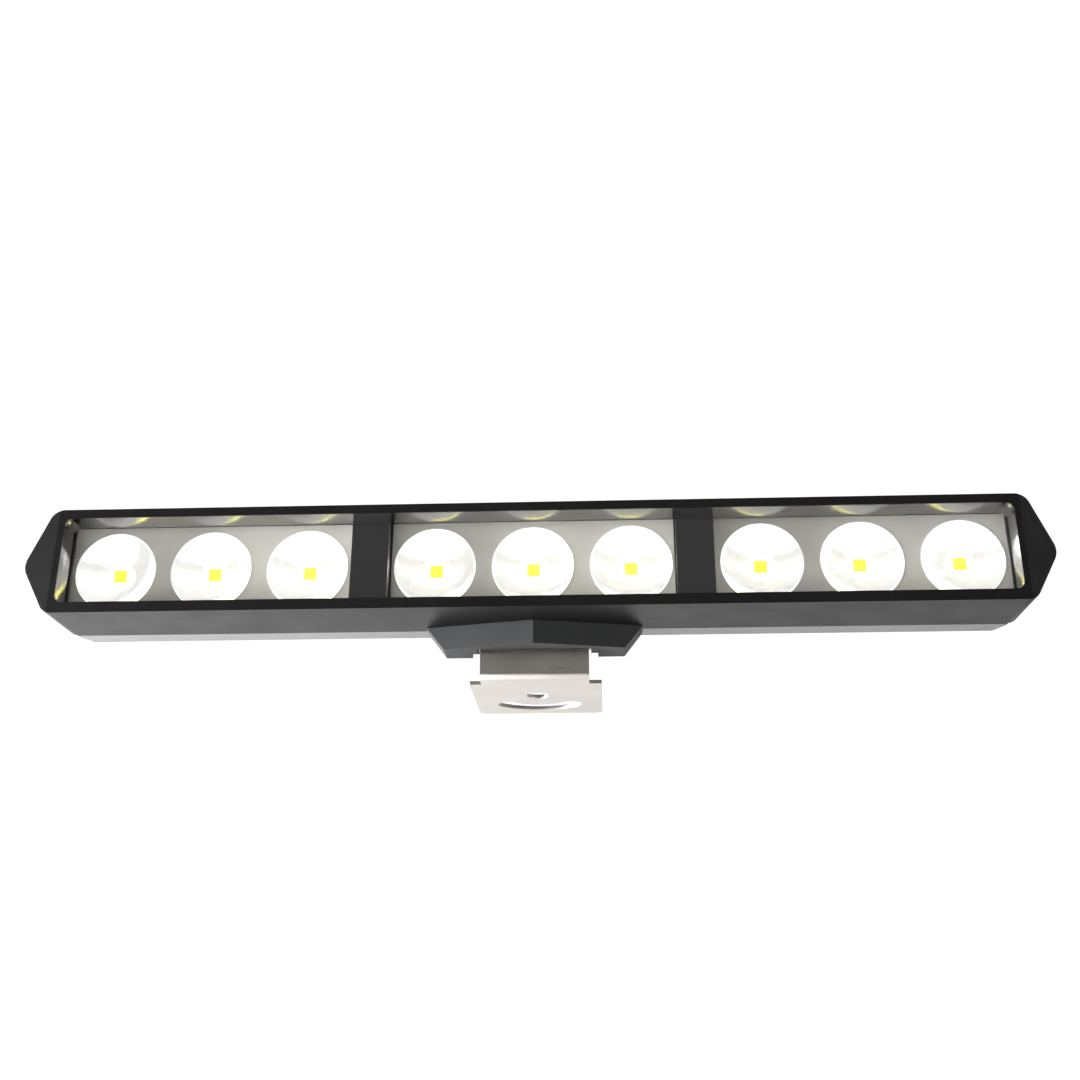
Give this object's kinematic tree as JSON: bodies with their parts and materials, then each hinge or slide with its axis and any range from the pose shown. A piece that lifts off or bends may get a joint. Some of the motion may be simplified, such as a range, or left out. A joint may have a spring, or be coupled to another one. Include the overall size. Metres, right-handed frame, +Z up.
{
  "type": "led light bar",
  "caption": "Slim rectangular LED work light with pointed ends, round reflectors in recessed windows and a tilting foot on a bent sheet bracket.",
  "frame": {"origin": "centre of the pivot hole on the underside of the bracket's foot plate", "axes": "+X along the bar to the right as seen from in front, the lamp faces -Y, +Z up from the mounting surface"},
  "size_m": [0.233, 0.0495, 0.0374],
  "materials": {
    "housing": "black anodised, satin",
    "cap": "satin black moulding",
    "cover": "black anodised heat sink",
    "foot": "fine texture",
    "pane": "clear polycarbonate",
    "reflector": "vacuum-metallised",
    "board": "white solder mask",
    "circuit": "green board",
    "package": "white ceramic",
    "phosphor": "yellow phosphor",
    "rubber": "silicone",
    "pad": "thermal pad",
    "component": "moulded",
    "steel": "stainless sheet",
    "fastener": "stainless",
    "gland": "nylon",
    "washer": "acetal"
  },
  "bodies": {
    "bracket": {"mounting_bracket": "steel"},
    "lamp": {"cover_screws": "fastener", "driver_board": "circuit", "driver_capacitors": "component", "driver_chip": "component", "driver_inductor": "component", "end_cap_left": "cap", "end_cap_right": "cap", "foot_screws": "fastener", "friction_washer_left": "washer", "friction_washer_right": "washer", "front_housing": "housing", "gland_body": "gland", "gland_nut": "gland", "gland_seal": "rubber", "led_board_centre": "board", "led_board_left": "board", "led_board_right": "board", "led_package_1": "package", "led_package_2": "package", "led_package_3": "package", "led_package_4": "package", "led_package_5": "package", "led_package_6": "package", "led_package_7": "package", "led_package_8": "package", "led_package_9": "package", "led_phosphor_1": "phosphor", "led_phosphor_2": "phosphor", "led_phosphor_3": "phosphor", "led_phosphor_4": "phosphor", "led_phosphor_5": "phosphor", "led_phosphor_6": "phosphor", "led_phosphor_7": "phosphor", "led_phosphor_8": "phosphor", "led_phosphor_9": "phosphor", "lens_centre": "pane", "lens_gasket_centre": "rubber", "lens_gasket_left": "rubber", "lens_gasket_right": "rubber", "lens_left": "pane", "lens_right": "pane", "mounting_foot": "foot", "pivot_nut_left": "fastener", "pivot_nut_right": "fastener", "pivot_stud_left": "fastener", "pivot_stud_right": "fastener", "rear_cover": "cover", "rear_gasket": "rubber", "reflector_centre": "reflector", "reflector_left": "reflector", "reflector_right": "reflector", "thermal_pad_centre": "pad", "thermal_pad_left_inner": "pad", "thermal_pad_left_outer": "pad", "thermal_pad_right_inner": "pad", "thermal_pad_right_outer": "pad", "vent_plug": "gland"}
  },
  "joints": [
    {"name": "lamp_tilt", "type": "hinge", "parent": "bracket", "child": "lamp", "pos_m": [0, -0.0127, 0.0093], "axis": [1, 0, 0], "range_deg": [-45, 25]}
  ]
}
